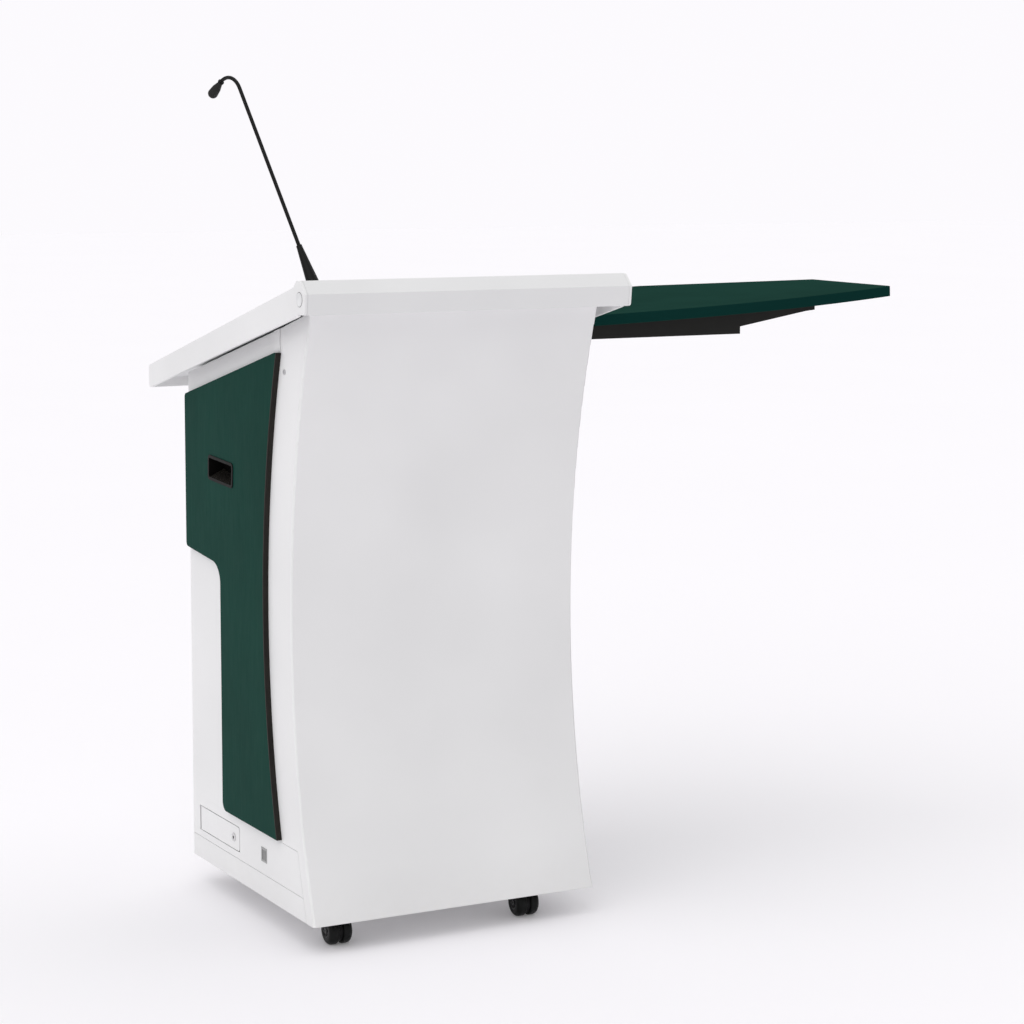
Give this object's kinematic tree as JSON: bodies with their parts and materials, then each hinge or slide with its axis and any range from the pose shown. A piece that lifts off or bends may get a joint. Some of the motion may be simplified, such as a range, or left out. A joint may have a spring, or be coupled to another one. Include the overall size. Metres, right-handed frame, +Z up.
{
  "type": "lectern",
  "caption": "Multimedia lectern on casters: curved white body, green side panels, sloping desk lid, gooseneck microphone and a fold-down side shelf.",
  "frame": {"origin": "on the floor, under the middle of the whole object's footprint with the side shelf raised", "axes": "+X to the right as the audience sees it, towards the side shelf; +Y from the audience side to the presenter side; +Z up"},
  "size_m": [1.3082, 0.6834, 1.427],
  "materials": {
    "white_paint": "satin powder coat",
    "white_board": "satin white laminate on board",
    "green_panel": "satin dark green laminate on board",
    "black_edging": "matte edge band",
    "black_plastic": "fine-grained moulded",
    "black_metal": "satin black",
    "mic_grille": "fine black mesh",
    "dark_bracket": "matte charcoal powder coat",
    "steel": "brushed",
    "lock_metal": "polished",
    "caster_black": "moulded",
    "wheel_black": "smooth moulded"
  },
  "bodies": {
    "cabinet": {"base_door_pin": "steel", "base_housing": "white_paint", "caster_bl_plate": "steel", "caster_br_plate": "steel", "caster_fl_plate": "steel", "caster_fr_plate": "steel", "cheek_screw_left": "steel", "cheek_screw_right": "steel", "desk_beam": "white_paint", "edge_strip_left": "black_edging", "edge_strip_right": "black_edging", "front_shell": "white_paint", "handle_cup_left": "black_plastic", "handle_cup_right": "black_plastic", "plinth": "white_paint", "port_insert": "black_plastic", "rear_door_hinges": "steel", "rear_header": "white_paint", "shelf_mount": "dark_bracket", "shelf_pin_front": "steel", "shelf_pin_rear": "steel", "shelf_standoffs": "dark_bracket", "side_panel_left": "green_panel", "side_panel_right": "green_panel", "side_wall_left": "white_paint", "side_wall_right": "white_paint"},
    "desk_lid": {"desk_board": "white_board", "desk_rail_left": "white_paint", "desk_rail_right": "white_paint", "desk_rear_lip": "white_paint", "lid_pivot_left": "white_paint", "lid_pivot_right": "white_paint", "mic_base": "black_metal", "mic_cone": "black_metal"},
    "mic_arm": {"mic_neck": "black_metal"},
    "mic_capsule": {"mic_head": "mic_grille"},
    "base_flap": {"base_door": "white_paint"},
    "base_flap_lock": {"base_door_lock": "lock_metal"},
    "rear_door": {"rear_door": "white_paint"},
    "rear_lock": {"rear_door_lock": "lock_metal"},
    "side_shelf": {"shelf_arm_front": "dark_bracket", "shelf_arm_rear": "dark_bracket", "shelf_board": "green_panel", "shelf_bracket_front": "dark_bracket", "shelf_bracket_rear": "dark_bracket"},
    "caster_fl_swivel": {"caster_fl_hood": "caster_black", "caster_fl_axle": "steel"},
    "caster_fl_roll": {"caster_fl_wheels": "wheel_black"},
    "caster_fr_swivel": {"caster_fr_hood": "caster_black", "caster_fr_axle": "steel"},
    "caster_fr_roll": {"caster_fr_wheels": "wheel_black"},
    "caster_bl_swivel": {"caster_bl_hood": "caster_black", "caster_bl_axle": "steel"},
    "caster_bl_roll": {"caster_bl_wheels": "wheel_black"},
    "caster_br_swivel": {"caster_br_hood": "caster_black", "caster_br_axle": "steel"},
    "caster_br_roll": {"caster_br_wheels": "wheel_black"}
  },
  "joints": [
    {"name": "lid_lift", "type": "hinge", "parent": "cabinet", "child": "desk_lid", "pos_m": [-0.3515, -0.32025, 1.0763], "axis": [1, 0, 0], "range_deg": [0, 60]},
    {"name": "mic_tilt", "type": "hinge", "parent": "desk_lid", "child": "mic_arm", "pos_m": [-0.60119, -0.21146, 1.15854], "axis": [0.9781, 0.2079, 0], "range_deg": [-20, 30]},
    {"name": "capsule_tilt", "type": "hinge", "parent": "mic_arm", "child": "mic_capsule", "pos_m": [-0.64469, -0.0068, 1.41979], "axis": [0.9781, 0.2079, 0], "range_deg": [-35, 35]},
    {"name": "base_flap_swing", "type": "hinge", "parent": "cabinet", "child": "base_flap", "pos_m": [-0.6125, 0.19575, 0.1225], "axis": [0, 0, -1], "range_deg": [0, 100]},
    {"name": "base_lock_turn", "type": "hinge", "parent": "base_flap", "child": "base_flap_lock", "pos_m": [-0.6155, 0.04775, 0.1225], "axis": [1, 0, 0], "range_deg": [0, 180]},
    {"name": "rear_door_swing", "type": "hinge", "parent": "cabinet", "child": "rear_door", "pos_m": [-0.59875, 0.24025, 0.56], "axis": [0, 0, 1], "range_deg": [0, 110]},
    {"name": "rear_lock_turn", "type": "hinge", "parent": "rear_door", "child": "rear_lock", "pos_m": [-0.135, 0.23475, 0.56], "axis": [0, -1, 0], "range_deg": [0, 90]},
    {"name": "shelf_fold", "type": "hinge", "parent": "cabinet", "child": "side_shelf", "pos_m": [-0.0385, 0.01875, 0.968], "axis": [0, 1, 0], "range_deg": [0, 90]},
    {"name": "caster_fl_turn", "type": "hinge", "parent": "cabinet", "child": "caster_fl_swivel", "pos_m": [-0.5505, -0.21525, 0.066], "axis": [0, 0, 1], "continuous": true},
    {"name": "caster_fl_spin", "type": "hinge", "parent": "caster_fl_swivel", "child": "caster_fl_roll", "pos_m": [-0.55123, -0.23624, 0.024], "axis": [0.9994, -0.0349, 0], "continuous": true},
    {"name": "caster_fr_turn", "type": "hinge", "parent": "cabinet", "child": "caster_fr_swivel", "pos_m": [-0.1965, -0.21525, 0.066], "axis": [0, 0, 1], "continuous": true},
    {"name": "caster_fr_spin", "type": "hinge", "parent": "caster_fr_swivel", "child": "caster_fr_roll", "pos_m": [-0.19723, -0.23624, 0.024], "axis": [0.9994, -0.0349, 0], "continuous": true},
    {"name": "caster_bl_turn", "type": "hinge", "parent": "cabinet", "child": "caster_bl_swivel", "pos_m": [-0.5015, 0.16475, 0.066], "axis": [0, 0, 1], "continuous": true},
    {"name": "caster_bl_spin", "type": "hinge", "parent": "caster_bl_swivel", "child": "caster_bl_roll", "pos_m": [-0.50223, 0.14376, 0.024], "axis": [0.9994, -0.0349, 0], "continuous": true},
    {"name": "caster_br_turn", "type": "hinge", "parent": "cabinet", "child": "caster_br_swivel", "pos_m": [-0.1965, 0.16475, 0.066], "axis": [0, 0, 1], "continuous": true},
    {"name": "caster_br_spin", "type": "hinge", "parent": "caster_br_swivel", "child": "caster_br_roll", "pos_m": [-0.19723, 0.14376, 0.024], "axis": [0.9994, -0.0349, 0], "continuous": true}
  ]
}
